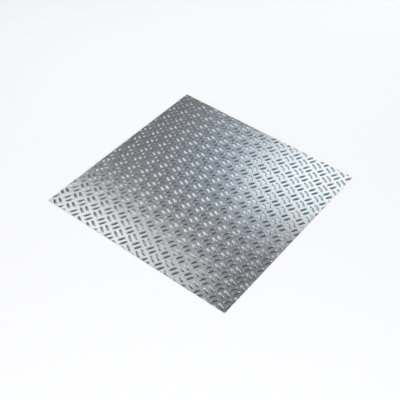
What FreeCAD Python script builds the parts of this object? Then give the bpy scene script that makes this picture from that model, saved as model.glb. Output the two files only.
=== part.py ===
"""Embossed aluminium sheet: the flat stock under the tread relief.

One square of rolled and guillotined sheet, so one body. The origin is the middle of
the underside, +Z is the side with the relief, and X and Y run along the cut edges.
The solid is the sheet at its base thickness. The low bars rolled into its top face are
fine relief, which isn't part of this model.
"""

import FreeCAD, Part
import Sketcher
import os

# The spreadsheet's rows: alias, value in millimetres, and the note beside it.
DIMENSIONS = [
    ("sheet_length", 500.0, "along X, cut edge to cut edge"),
    ("sheet_width", 500.0, "along Y, cut edge to cut edge"),
    ("base_thickness", 1.5, "metal between the raised bars"),
    ("corner_radius", 0.6, "filed corner, seen from above"),
    ("edge_break", 0.15, "deburred arris, top and bottom"),
]
NODE = "embossed_sheet"
PARTS_FOLDER = "parts"

# How a constraint names the two ends of a line, and the sketch's own origin.
LINE_START, LINE_END = 1, 2
SKETCH_ORIGIN = (-1, 1)


def make_dimensions(doc):
    """The spreadsheet whose aliased cells drive every feature."""
    table = doc.addObject("Spreadsheet::Sheet", "Dimensions")
    for row, (alias, value, note) in enumerate(DIMENSIONS, start=1):
        table.set(f"A{row}", alias)
        table.set(f"B{row}", str(value))
        table.setAlias(f"B{row}", alias)
        table.set(f"C{row}", note)
    doc.recompute()
    return table


def origin_plane(body, role):
    """The body's own origin plane with that role."""
    return next(plane for plane in body.Origin.OriginFeatures if plane.Role == role)


def add_outline(body, table):
    """The sheet seen from above: a rectangle centred on the origin."""
    sketch = body.newObject("Sketcher::SketchObject", "Outline")
    sketch.AttachmentSupport = [(origin_plane(body, "XY_Plane"), "")]
    sketch.MapMode = "FlatFace"
    half_x, half_y = table.sheet_length / 2, table.sheet_width / 2
    corners = [
        FreeCAD.Vector(-half_x, -half_y),
        FreeCAD.Vector(half_x, -half_y),
        FreeCAD.Vector(half_x, half_y),
        FreeCAD.Vector(-half_x, half_y),
    ]
    sides = range(len(corners))
    for side in sides:
        sketch.addGeometry(Part.LineSegment(corners[side], corners[(side + 1) % len(corners)]))
    for side in sides:
        following = (side + 1) % len(corners)
        sketch.addConstraint(Sketcher.Constraint("Coincident", side, LINE_END, following, LINE_START))
        level = "Horizontal" if side % 2 == 0 else "Vertical"
        sketch.addConstraint(Sketcher.Constraint(level, side))
    front, right, back = 0, 1, 2
    centred = Sketcher.Constraint("Symmetric", front, LINE_START, back, LINE_START, *SKETCH_ORIGIN)
    sketch.addConstraint(centred)
    for side, name, kind, size in [
        (front, "length", "DistanceX", table.sheet_length),
        (right, "width", "DistanceY", table.sheet_width),
    ]:
        index = sketch.addConstraint(Sketcher.Constraint(kind, side, LINE_START, side, LINE_END, size))
        sketch.renameConstraint(index, name)
        sketch.setExpression(f"Constraints.{name}", f"Dimensions.sheet_{name}")
    return sketch


def stands_up(edge):
    """True for an edge that runs along Z."""
    box = edge.BoundBox
    return box.ZLength > max(box.XLength, box.YLength)


def lies_flat(face):
    """True for the top or the bottom face, whose normal runs along Z."""
    return round(abs(face.normalAt(0, 0).z)) == 1


def named(kind, shapes, wanted):
    """The names, such as Edge3 or Face5, of those shapes that are wanted."""
    return [f"{kind}{number}" for number, shape in enumerate(shapes, start=1) if wanted(shape)]


def make_sheet(doc, table):
    """The sheet's body: pad the outline, round its four corners, break its edges."""
    body = doc.addObject("PartDesign::Body", NODE)
    body.Label = NODE

    pad = body.newObject("PartDesign::Pad", "Plate")
    pad.Profile = add_outline(body, table)
    pad.setExpression("Length", "Dimensions.base_thickness")
    doc.recompute()

    corners = body.newObject("PartDesign::Fillet", "Corners")
    corners.Base = (pad, named("Edge", pad.Shape.Edges, stands_up))
    corners.setExpression("Radius", "Dimensions.corner_radius")
    doc.recompute()

    arrises = body.newObject("PartDesign::Chamfer", "Arrises")
    arrises.Base = (corners, named("Face", corners.Shape.Faces, lies_flat))
    arrises.setExpression("Size", "Dimensions.edge_break")
    body.Tip = arrises
    doc.recompute()
    return body


def check(doc, bodies):
    """Stops the build if a feature failed or a body isn't one good solid."""
    failed = [o.Name for o in doc.Objects if {"Invalid", "Error"} & set(o.State)]
    if failed:
        raise RuntimeError(f"features failed: {failed}")
    for body in bodies:
        shape = body.Shape
        if shape.isNull() or not shape.isValid() or len(shape.Solids) != 1:
            raise RuntimeError(f"{body.Label} isn't one valid solid")


def main():
    doc = FreeCAD.newDocument("EmbossedSheet")
    table = make_dimensions(doc)
    bodies = [make_sheet(doc, table)]
    check(doc, bodies)
    os.makedirs(PARTS_FOLDER, exist_ok=True)
    for body in bodies:
        body.Shape.exportStep(os.path.join(PARTS_FOLDER, f"{body.Label}.step"))
        box = body.Shape.BoundBox
        print(f"{body.Label}: {box.XLength:.3f} x {box.YLength:.3f} x {box.ZLength:.3f} mm,", end=" ")
        print(f"{body.Shape.Volume / 1000:.3f} cm3")


main()
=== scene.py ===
"""The looks of the embossed aluminium sheet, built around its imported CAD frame.

The CAD solid is the sheet at its base thickness. Here one closed mesh stands for it: the same
square, with the pairs of low bars that the mill rolls into the top face. Lengths are in metres.
"""

import math

import bmesh
import bpy
import numpy as np
from mathutils import Matrix, Vector
from mathutils.geometry import delaunay_2d_cdt


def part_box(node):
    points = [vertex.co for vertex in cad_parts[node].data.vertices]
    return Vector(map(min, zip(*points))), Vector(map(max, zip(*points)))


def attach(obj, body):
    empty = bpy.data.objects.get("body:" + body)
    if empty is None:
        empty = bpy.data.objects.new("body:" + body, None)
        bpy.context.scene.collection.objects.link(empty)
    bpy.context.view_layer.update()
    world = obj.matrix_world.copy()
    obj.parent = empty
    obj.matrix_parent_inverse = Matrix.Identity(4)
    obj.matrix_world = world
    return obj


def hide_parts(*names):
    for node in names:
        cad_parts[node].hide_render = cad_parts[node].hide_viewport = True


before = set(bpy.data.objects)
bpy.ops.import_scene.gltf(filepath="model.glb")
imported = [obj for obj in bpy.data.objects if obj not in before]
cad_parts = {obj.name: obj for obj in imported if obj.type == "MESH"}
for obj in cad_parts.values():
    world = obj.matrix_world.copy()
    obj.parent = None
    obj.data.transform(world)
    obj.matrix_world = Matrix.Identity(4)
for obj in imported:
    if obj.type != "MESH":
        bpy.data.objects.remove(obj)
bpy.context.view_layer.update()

NODE = "embossed_sheet"
BODY = "root"

# The sheet's own plan, from the frame, and the finish of its cut edges.
LOW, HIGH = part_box(NODE)
HALF_X, HALF_Y = HIGH.x, HIGH.y
BASE = HIGH.z
CORNER_RADIUS = 0.0006
EDGE_BREAK = 0.00015
CORNER_CUTS = 4             # flats to each rounded corner
CENTRE_X = HALF_X - CORNER_RADIUS
CENTRE_Y = HALF_Y - CORNER_RADIUS

# The relief: square tiles, each with two parallel bars, every other tile turned a quarter.
TILE = 0.024
BAR_LENGTH = 0.0212
BAR_WIDTH = 0.0066
BAR_HEIGHT = 0.0011
BAR_STRAIGHT = 0.0072       # the middle stretch at full width; the rest tapers to the ends
BAR_SPACING = TILE / 2
CREST_ROUND = 0.1           # the share of the half width that is rounded at the crest
FOOT_ROUND = 0.14           # and at the foot; the rest is an even slope
PATTERN_TURN = math.radians(-28.9)
PATTERN_START = Vector((-0.1956, -0.1757))    # the middle of one of the turned tiles

# The mesh: rings of points on each bar, and how near two points count as one.
BAR_RINGS = (1.0, 0.92, 0.84, 0.2, 0.09)      # foot to crest, as shares of the half width
BAR_SIDES = 18
WHOLE_HULL = 0              # the Delaunay output that keeps every triangle
POINT_TOLERANCE = 1e-7
MERGE_DISTANCE = 1e-6
SLOPE_STEP = 2e-6           # the step either side when a slope is taken

# The aluminium's finish. Sizes are cells of noise to the metre.
GRAIN_STRETCH = (6.0, 260.0, 60.0)            # slow along X and fast across it
GRAIN_SIZE, GRAIN_DETAIL = 9.0, 3.0
MOTTLE_SIZE, MOTTLE_DETAIL = 14.0, 4.0
FINE_SIZE, FINE_DETAIL = 420.0, 2.0
EVEN = (1.0, 1.0, 1.0)
NOISE_ROUGHNESS = 0.55
NOISE_LOW, NOISE_HIGH = 0.3, 0.7              # the stretch of a noise's values that counts
RUBBED_FROM = BASE + 0.7 * BAR_HEIGHT         # crests are rubbed from here up
RUBBED_FULL = BASE + BAR_HEIGHT
SHEARED_FROM, SHEARED_FULL = 0.6, 0.2         # how level a sheared face may be: 1 is level
TONE_GRAIN, TONE_MOTTLE = 0.03, 0.025
TONE_RUBBED, TONE_SHEARED = 0.03, 0.1
TONE_GAIN, TONE_MIDDLE = 4.0, 0.5
METAL_DARK = (0.74, 0.75, 0.765, 1.0)
METAL_PALE = (0.87, 0.88, 0.89, 1.0)
ROUGH_LOW, ROUGH_HIGH = 0.21, 0.25
ROUGH_GRAIN, ROUGH_RUBBED, ROUGH_SHEARED = 0.02, 0.03, 0.15
BUMP_STRENGTH, BUMP_DISTANCE, BUMP_FINE = 0.06, 0.00004, 0.3

# The camera, found from the sheet's outline as a square of the frame's size.
VIEW_AZIMUTH = math.radians(37.53)
VIEW_ELEVATION = math.radians(45.61)
VIEW_ROLL = math.radians(0.97)
VIEW_DISTANCE = 1.736
VIEW_TARGET = Vector((0.0163, -0.0325, 0.0))
LENS = 68.7
SENSOR = 36.0
AWAY = Vector((-math.sin(VIEW_AZIMUTH), math.cos(VIEW_AZIMUTH), 0.0))
RIGHT = Vector((math.cos(VIEW_AZIMUTH), math.sin(VIEW_AZIMUTH), 0.0))
UP = Vector((0.0, 0.0, 1.0))

# The studio's floor and its key lamp.
FLOOR_HALF = 30.0
FLOOR_COLOUR = (0.86, 0.86, 0.865, 1.0)
FLOOR_ROUGHNESS = 0.9
FLOOR_GLOW = 0.33
WHITE = (1.0, 1.0, 1.0)
KEY_SIZE = 2.4
KEY_DISTANCE = 3.4
KEY_ELEVATION = math.radians(48.0)
KEY_RADIANCE = 4.0

# Softboxes: name; left, right, front and back of its mirror image in the sheet; height; radiance;
# colour. Where two overlap their heights differ, because level lamps at one height hide each other.
PANELS = (
    ("left_panel", -0.275, 0.01, -0.565, -0.18, 1.05, 1.22, WHITE),
    ("left_wing", 0.01, 0.18, -0.43, -0.185, 1.05, 0.76, WHITE),
    ("right_panel", 0.045, 0.62, 0.04, 0.58, 1.05, 1.17, (0.91, 0.965, 1.0)),
    ("blue_panel", -0.11, 0.19, -0.03, 0.24, 1.1, 0.22, (0.2, 0.65, 1.0)),
    ("middle_panel", -0.27, 0.27, -0.27, 0.27, 1.15, 0.115, WHITE),
    ("far_panel", -0.17, 0.04, 0.17, 0.62, 1.2, 0.24, (0.93, 0.97, 1.0)),
)

# The room that the metal mirrors between the softboxes.
ROOM_DARK = (0.09, 0.09, 0.097)
ROOM_PALE = (0.72, 0.725, 0.74)
BEHIND_FROM, BEHIND_FULL = -0.3, -0.95        # along AWAY: pale behind the camera
WALL_FROM, WALL_FULL = 0.58, 0.05             # along Z: half pale low on the walls
WALL_SHARE = 0.42


# ---------------------------------------------------------------- relief

def bar_share(along, across):
    """How far out a point of a bar is: 0 on its spine, 1 on its outline."""
    straight = BAR_STRAIGHT / 2
    taper = BAR_LENGTH / 2 - straight
    past = np.maximum(np.abs(along) - straight, 0.0) / taper
    return np.hypot(past, across / (BAR_WIDTH / 2))


def bar_height(share):
    """The height at that share: a rounded crest, an even slope and a rounded foot."""
    slope = 1.0 / (1.0 - (CREST_ROUND + FOOT_ROUND) / 2)
    crest = 1.0 - slope * share ** 2 / (2 * CREST_ROUND)
    flank = 1.0 - slope * (share - CREST_ROUND / 2)
    foot = slope * np.maximum(1.0 - share, 0.0) ** 2 / (2 * FOOT_ROUND)
    sloped = np.where(share > 1.0 - FOOT_ROUND, foot, flank)
    return BAR_HEIGHT * np.where(share < CREST_ROUND, crest, sloped)


def to_pattern(x, y):
    """Plan coordinates in the pattern's own axes, counted in tiles."""
    cosine, sine = math.cos(PATTERN_TURN), math.sin(PATTERN_TURN)
    dx, dy = x - PATTERN_START.x, y - PATTERN_START.y
    return (cosine * dx + sine * dy) / TILE, (-sine * dx + cosine * dy) / TILE


def relief(x, y):
    """The height of the relief over the base at points of the plan."""
    u, v = to_pattern(x, y)
    column, row = np.round(u), np.round(v)
    turned = np.mod(column + row, 2) < 0.5
    du, dv = (u - column) * TILE, (v - row) * TILE
    along = np.where(turned, dv, du)
    across = np.abs(np.where(turned, du, dv)) - BAR_SPACING / 2
    return bar_height(bar_share(along, across))


def relief_normals(x, y):
    """Unit normals of the relief, from small steps either side."""
    slope_x = (relief(x + SLOPE_STEP, y) - relief(x - SLOPE_STEP, y)) / (2 * SLOPE_STEP)
    slope_y = (relief(x, y + SLOPE_STEP) - relief(x, y - SLOPE_STEP)) / (2 * SLOPE_STEP)
    normals = np.stack([-slope_x, -slope_y, np.ones_like(slope_x)], axis=1)
    return normals / np.linalg.norm(normals, axis=1, keepdims=True)


# ---------------------------------------------------------------- sheet mesh

def ring_points(share):
    """One closed ring of a bar at that share of its half width, spine along the first axis."""
    straight = BAR_STRAIGHT / 2
    taper = (BAR_LENGTH / 2 - straight) * share
    points = []
    for step in range(BAR_SIDES):
        angle = 2 * math.pi * (step + 0.5) / BAR_SIDES
        reach = math.cos(angle)
        along = math.copysign(straight, reach) + taper * reach
        points.append((along, BAR_WIDTH / 2 * share * math.sin(angle)))
    return points


def tile_mesh():
    """One flat tile, centred, its bars along the first axis: points and triangles."""
    half = TILE / 2
    points = [(-half, -half), (half, -half), (half, half), (-half, half)]
    edges = []
    for side in (-1, 1):
        for share in BAR_RINGS:
            first = len(points)
            points += [(a, b + side * BAR_SPACING / 2) for a, b in ring_points(share)]
            edges += [(first + k, first + (k + 1) % BAR_SIDES) for k in range(BAR_SIDES)]
    flat = [Vector(p) for p in points]
    found, _, triangles, *_ = delaunay_2d_cdt(flat, edges, [], WHOLE_HULL, POINT_TOLERANCE)
    return np.array([tuple(p) for p in found]), np.array([list(t) for t in triangles])


def tile_place(points, column, row):
    """Plan coordinates of one tile's points; its bars turn with its place in the pattern."""
    cosine, sine = math.cos(PATTERN_TURN), math.sin(PATTERN_TURN)
    turned = (column + row) % 2 == 0
    local = points[:, ::-1] * (1, -1) if turned else points
    u = column * TILE + local[:, 0]
    v = row * TILE + local[:, 1]
    return PATTERN_START.x + cosine * u - sine * v, PATTERN_START.y + sine * u + cosine * v


def misses_sheet(x, y):
    """Whether the box round these points lies wholly off the sheet."""
    return x.min() > HALF_X or x.max() < -HALF_X or y.min() > HALF_Y or y.max() < -HALF_Y


def tiled_plan():
    """Every tile that meets the sheet, as one flat bmesh whose neighbours share corners."""
    points, triangles = tile_mesh()
    reach = math.hypot(HALF_X, HALF_Y) + TILE
    count = math.ceil(2 * reach / TILE)
    verts, faces = [], []
    total = 0
    for column in range(-count, count + 1):
        for row in range(-count, count + 1):
            x, y = tile_place(points, column, row)
            if misses_sheet(x, y):
                continue
            verts.append(np.stack([x, y, np.zeros_like(x)], axis=1))
            faces.append(triangles + total)
            total += len(points)
    mesh = bpy.data.meshes.new("plan")
    mesh.from_pydata(np.concatenate(verts).tolist(), [], np.concatenate(faces).tolist())
    plan = bmesh.new()
    plan.from_mesh(mesh)
    bpy.data.meshes.remove(mesh)
    bmesh.ops.remove_doubles(plan, verts=plan.verts[:], dist=MERGE_DISTANCE)
    return plan


def cut_outline(plan):
    """Cuts the plan to the sheet's rounded square, drawn in by the edge break."""
    radius = CORNER_RADIUS - EDGE_BREAK
    directions = 4 * CORNER_CUTS
    for step in range(directions):
        angle = 2 * math.pi * step / directions
        way = Vector((math.cos(angle), math.sin(angle), 0.0))
        corner = Vector((math.copysign(CENTRE_X, way.x), math.copysign(CENTRE_Y, way.y), 0.0))
        everything = plan.verts[:] + plan.edges[:] + plan.faces[:]
        bmesh.ops.bisect_plane(plan, geom=everything, dist=POINT_TOLERANCE,
                               plane_co=corner + way * radius, plane_no=way, clear_outer=True)


def outward(point):
    """The plan direction in which the cut edge faces at a point of the outline."""
    nearest_x = min(max(point.x, -CENTRE_X), CENTRE_X)
    nearest_y = min(max(point.y, -CENTRE_Y), CENTRE_Y)
    return (Vector((point.x, point.y, 0.0)) - Vector((nearest_x, nearest_y, 0.0))).normalized()


def close_below(plan):
    """Takes the outline down as a cut edge with broken arrises, and closes the underside.

    Each step moves the rim outward by the first number and to the height of the second. The first
    step has no height of its own: it drops by the edge break from wherever the relief left the rim.
    """
    rim = [edge for edge in plan.edges if edge.is_boundary]
    for outset, level in ((EDGE_BREAK, None), (0.0, EDGE_BREAK), (-EDGE_BREAK, 0.0)):
        new = bmesh.ops.extrude_edge_only(plan, edges=rim)["geom"]
        for item in new:
            if isinstance(item, bmesh.types.BMFace):
                item.smooth = False
        rim = [item for item in new if isinstance(item, bmesh.types.BMEdge)]
        for vert in {v for edge in rim for v in edge.verts}:
            vert.co += outward(vert.co) * outset
            vert.co.z = vert.co.z - EDGE_BREAK if level is None else level
    for face in bmesh.ops.contextual_create(plan, geom=rim)["faces"]:
        face.smooth = False


def sheet_mesh():
    """The whole sheet as one closed mesh with the relief's own normals on its top."""
    plan = tiled_plan()
    cut_outline(plan)
    plan.verts.ensure_lookup_table()
    flat = np.array([vert.co for vert in plan.verts])
    heights = BASE + relief(flat[:, 0], flat[:, 1])
    for vert, height in zip(plan.verts, heights):
        vert.co.z = height
    for face in plan.faces:
        face.smooth = True
    close_below(plan)
    bmesh.ops.recalc_face_normals(plan, faces=plan.faces[:])
    mesh = bpy.data.meshes.new("tread_sheet")
    plan.to_mesh(mesh)
    plan.free()
    set_normals(mesh)
    return mesh


def read(items, name, width, kind):
    """One attribute of every item of a mesh, as rows of width numbers."""
    values = np.zeros(len(items) * width, kind)
    items.foreach_get(name, values)
    return values.reshape(-1, width) if width > 1 else values


def set_normals(mesh):
    """Smooth normals over the top and flat ones on the cut edges and the underside."""
    corners = read(mesh.loops, "vertex_index", 1, np.int32)
    places = read(mesh.vertices, "co", 3, np.float32)
    sizes = read(mesh.polygons, "loop_total", 1, np.int32)
    normals = np.repeat(read(mesh.polygons, "normal", 3, np.float32), sizes, axis=0)
    on_top = np.repeat(read(mesh.polygons, "use_smooth", 1, bool), sizes)
    where = places[corners[on_top]].astype(float)
    normals[on_top] = relief_normals(where[:, 0], where[:, 1])
    mesh.polygons.foreach_set("use_smooth", np.ones(len(mesh.polygons), bool))
    mesh.normals_split_custom_set(normals.tolist())


# ---------------------------------------------------------------- materials

def new_material(name):
    """A new node material, with its tree and its shader."""
    material = bpy.data.materials.new(name)
    material.use_nodes = True
    tree = material.node_tree
    return material, tree, tree.nodes["Principled BSDF"]


def scaled_noise(tree, stretch, size, detail):
    """Noise over the object's own coordinates, which are first multiplied by stretch."""
    place = tree.nodes.new("ShaderNodeTexCoord")
    mapping = tree.nodes.new("ShaderNodeMapping")
    mapping.inputs["Scale"].default_value = stretch
    noise = tree.nodes.new("ShaderNodeTexNoise")
    noise.inputs["Scale"].default_value = size
    noise.inputs["Detail"].default_value = detail
    noise.inputs["Roughness"].default_value = NOISE_ROUGHNESS
    tree.links.new(place.outputs["Object"], mapping.inputs["Vector"])
    tree.links.new(mapping.outputs["Vector"], noise.inputs["Vector"])
    return noise.outputs["Fac"]


def mapped(tree, value, low, high, to_low, to_high):
    """value moved from low..high to to_low..to_high, and held within them."""
    node = tree.nodes.new("ShaderNodeMapRange")
    node.inputs["From Min"].default_value = low
    node.inputs["From Max"].default_value = high
    node.inputs["To Min"].default_value = to_low
    node.inputs["To Max"].default_value = to_high
    tree.links.new(value, node.inputs["Value"])
    return node.outputs["Result"]


def maths(tree, operation, first, second=0.0):
    """One Math node; its inputs are sockets or numbers."""
    node = tree.nodes.new("ShaderNodeMath")
    node.operation = operation
    for socket, value in zip(node.inputs, (first, second)):
        if isinstance(value, (int, float)):
            socket.default_value = value
        else:
            tree.links.new(value, socket)
    return node.outputs[0]


def surface_z(tree, output):
    """The Z part of the object's own coordinates or normals."""
    place = tree.nodes.new("ShaderNodeTexCoord")
    split = tree.nodes.new("ShaderNodeSeparateXYZ")
    tree.links.new(place.outputs[output], split.inputs["Vector"])
    return split.outputs["Z"]


def metal_tone(tree, grain, mottle, rubbed, sheared):
    """The metal's colour: grained and mottled, paler on the crests and darker on the cut edges."""
    tone = maths(tree, "ADD", mapped(tree, grain, NOISE_LOW, NOISE_HIGH, -TONE_GRAIN, TONE_GRAIN),
                 mapped(tree, mottle, NOISE_LOW, NOISE_HIGH, -TONE_MOTTLE, TONE_MOTTLE))
    tone = maths(tree, "ADD", tone, maths(tree, "MULTIPLY", rubbed, TONE_RUBBED))
    tone = maths(tree, "SUBTRACT", tone, maths(tree, "MULTIPLY", sheared, TONE_SHEARED))
    shade = tree.nodes.new("ShaderNodeValToRGB")
    shade.color_ramp.elements[0].color = METAL_DARK
    shade.color_ramp.elements[1].color = METAL_PALE
    gained = maths(tree, "MULTIPLY", tone, TONE_GAIN)
    tree.links.new(maths(tree, "ADD", gained, TONE_MIDDLE), shade.inputs["Fac"])
    return shade.outputs["Color"]


def metal_roughness(tree, grain, mottle, rubbed, sheared):
    """The metal's roughness: smoother on the crests and rougher on the cut edges."""
    rough = maths(tree, "ADD", mapped(tree, grain, NOISE_LOW, NOISE_HIGH, -ROUGH_GRAIN, ROUGH_GRAIN),
                  mapped(tree, mottle, NOISE_LOW, NOISE_HIGH, ROUGH_LOW, ROUGH_HIGH))
    rough = maths(tree, "SUBTRACT", rough, maths(tree, "MULTIPLY", rubbed, ROUGH_RUBBED))
    return maths(tree, "ADD", rough, maths(tree, "MULTIPLY", sheared, ROUGH_SHEARED))


def metal_bump(tree, grain, fine):
    """A very slight bump from the grain and a finer noise."""
    bump = tree.nodes.new("ShaderNodeBump")
    bump.inputs["Strength"].default_value = BUMP_STRENGTH
    bump.inputs["Distance"].default_value = BUMP_DISTANCE
    height = maths(tree, "ADD", grain, maths(tree, "MULTIPLY", fine, BUMP_FINE))
    tree.links.new(height, bump.inputs["Height"])
    return bump.outputs["Normal"]


def aluminium():
    """Mill-finish aluminium: rolling grain along X, faint mottling, rubbed crests, sheared edges."""
    material, tree, shader = new_material("mill_aluminium")
    grain = scaled_noise(tree, GRAIN_STRETCH, GRAIN_SIZE, GRAIN_DETAIL)
    mottle = scaled_noise(tree, EVEN, MOTTLE_SIZE, MOTTLE_DETAIL)
    fine = scaled_noise(tree, EVEN, FINE_SIZE, FINE_DETAIL)
    rubbed = mapped(tree, surface_z(tree, "Object"), RUBBED_FROM, RUBBED_FULL, 0.0, 1.0)
    level = maths(tree, "ABSOLUTE", surface_z(tree, "Normal"))
    sheared = mapped(tree, level, SHEARED_FROM, SHEARED_FULL, 0.0, 1.0)
    tone = metal_tone(tree, grain, mottle, rubbed, sheared)
    tree.links.new(tone, shader.inputs["Base Color"])
    rough = metal_roughness(tree, grain, mottle, rubbed, sheared)
    tree.links.new(rough, shader.inputs["Roughness"])
    tree.links.new(metal_bump(tree, grain, fine), shader.inputs["Normal"])
    shader.inputs["Metallic"].default_value = 1.0
    return material


def floor_material():
    """A matt pale floor. Seen by camera, gloss or glass it is lifted towards white."""
    material, tree, shader = new_material("studio_floor")
    shader.inputs["Base Color"].default_value = FLOOR_COLOUR
    shader.inputs["Roughness"].default_value = FLOOR_ROUGHNESS
    shader.inputs["Specular IOR Level"].default_value = 0.0
    shader.inputs["Emission Color"].default_value = (*WHITE, 1.0)
    path = tree.nodes.new("ShaderNodeLightPath")
    seen = maths(tree, "MAXIMUM", path.outputs["Is Camera Ray"], path.outputs["Is Glossy Ray"])
    seen = maths(tree, "MAXIMUM", seen, path.outputs["Is Transmission Ray"])
    tree.links.new(maths(tree, "MULTIPLY", seen, FLOOR_GLOW), shader.inputs["Emission Strength"])
    return material


# ---------------------------------------------------------------- studio

def add_floor():
    """The floor, level with the sheet's underside."""
    mesh = bpy.data.meshes.new("floor")
    signs = [(-1, -1), (1, -1), (1, 1), (-1, 1)]
    corners = [(x * FLOOR_HALF, y * FLOOR_HALF, LOW.z) for x, y in signs]
    mesh.from_pydata(corners, [], [(0, 1, 2, 3)])
    floor = bpy.data.objects.new("floor", mesh)
    floor.data.materials.append(floor_material())
    bpy.context.collection.objects.link(floor)


def towards_camera(elevation):
    """The direction from the sheet to the camera's side of the room, at that elevation."""
    return -AWAY * math.cos(elevation) + UP * math.sin(elevation)


def camera_place():
    """Where the camera stands."""
    return VIEW_TARGET + towards_camera(VIEW_ELEVATION) * VIEW_DISTANCE


def add_panel(name, left, right, front, back, height, radiance, colour):
    """A level softbox over the sheet; radiance 1 is the brightness of white.

    Its sides are given by its mirror image in the flat sheet, as the camera sees it: the lines
    x = left and right, y = front and back.
    """
    growth = height / camera_place().z
    lamp = bpy.data.lights.new(name, "AREA")
    lamp.shape = "RECTANGLE"
    lamp.size = (right - left) * (1 + growth)
    lamp.size_y = (back - front) * (1 + growth)
    lamp.energy = radiance * math.pi * lamp.size * lamp.size_y
    lamp.color = colour
    panel = bpy.data.objects.new(name, lamp)
    image = Vector(((left + right) / 2, (front + back) / 2))
    middle = image * (1 + growth) - camera_place().xy * growth
    panel.location = (middle.x, middle.y, height)
    panel.visible_camera = False
    bpy.context.collection.objects.link(panel)


def add_key():
    """A large soft lamp high behind the camera. It lights matt things and the metal doesn't mirror it."""
    lamp = bpy.data.lights.new("key", "AREA")
    lamp.shape = "SQUARE"
    lamp.size = KEY_SIZE
    lamp.energy = KEY_RADIANCE * math.pi * KEY_SIZE ** 2
    key = bpy.data.objects.new("key", lamp)
    way = towards_camera(KEY_ELEVATION)
    key.location = way * KEY_DISTANCE
    key.rotation_euler = way.to_track_quat("Z", "Y").to_euler()
    key.visible_camera = False
    key.visible_glossy = False
    bpy.context.collection.objects.link(key)


def add_lights():
    """The softboxes, which the sheet mirrors at its left and right with a dim band between; the key."""
    for panel in PANELS:
        add_panel(*panel)
    add_key()


def set_world():
    """A room that is pale behind the camera, half pale low on the walls and dim elsewhere."""
    world = bpy.data.worlds.new("studio")
    world.use_nodes = True
    tree = world.node_tree
    place = tree.nodes.new("ShaderNodeTexCoord")
    split = tree.nodes.new("ShaderNodeSeparateXYZ")
    tree.links.new(place.outputs["Generated"], split.inputs["Vector"])
    away = tree.nodes.new("ShaderNodeVectorMath")
    away.operation = "DOT_PRODUCT"
    away.inputs[1].default_value = AWAY
    tree.links.new(place.outputs["Generated"], away.inputs[0])
    behind = mapped(tree, away.outputs["Value"], BEHIND_FROM, BEHIND_FULL, 0.0, 1.0)
    walls = mapped(tree, split.outputs["Z"], WALL_FROM, WALL_FULL, 0.0, WALL_SHARE)
    mix = tree.nodes.new("ShaderNodeMix")
    mix.data_type = "RGBA"
    mix.inputs["A"].default_value = (*ROOM_DARK, 1.0)
    mix.inputs["B"].default_value = (*ROOM_PALE, 1.0)
    tree.links.new(maths(tree, "MAXIMUM", behind, walls), mix.inputs["Factor"])
    tree.links.new(mix.outputs["Result"], tree.nodes["Background"].inputs["Color"])
    bpy.context.scene.world = world


def add_camera():
    """The camera, with the sheet's near corner towards it."""
    back = towards_camera(VIEW_ELEVATION)
    camera = bpy.data.cameras.new("camera")
    camera.lens = LENS
    camera.sensor_width = SENSOR
    eye = bpy.data.objects.new("camera", camera)
    eye.location = camera_place()
    level_up = back.cross(RIGHT)
    right = RIGHT * math.cos(VIEW_ROLL) + level_up * math.sin(VIEW_ROLL)
    eye.rotation_euler = Matrix((right, back.cross(right), back)).transposed().to_euler()
    bpy.context.collection.objects.link(eye)
    bpy.context.scene.camera = eye


def add_sheet():
    """The sheet itself, in place of the plain CAD solid."""
    sheet = bpy.data.objects.new("tread_sheet", sheet_mesh())
    sheet.data.materials.append(aluminium())
    bpy.context.collection.objects.link(sheet)
    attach(sheet, BODY)
    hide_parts(NODE)


add_sheet()
add_floor()
set_world()
add_lights()
add_camera()
bpy.context.scene.view_settings.view_transform = "Standard"
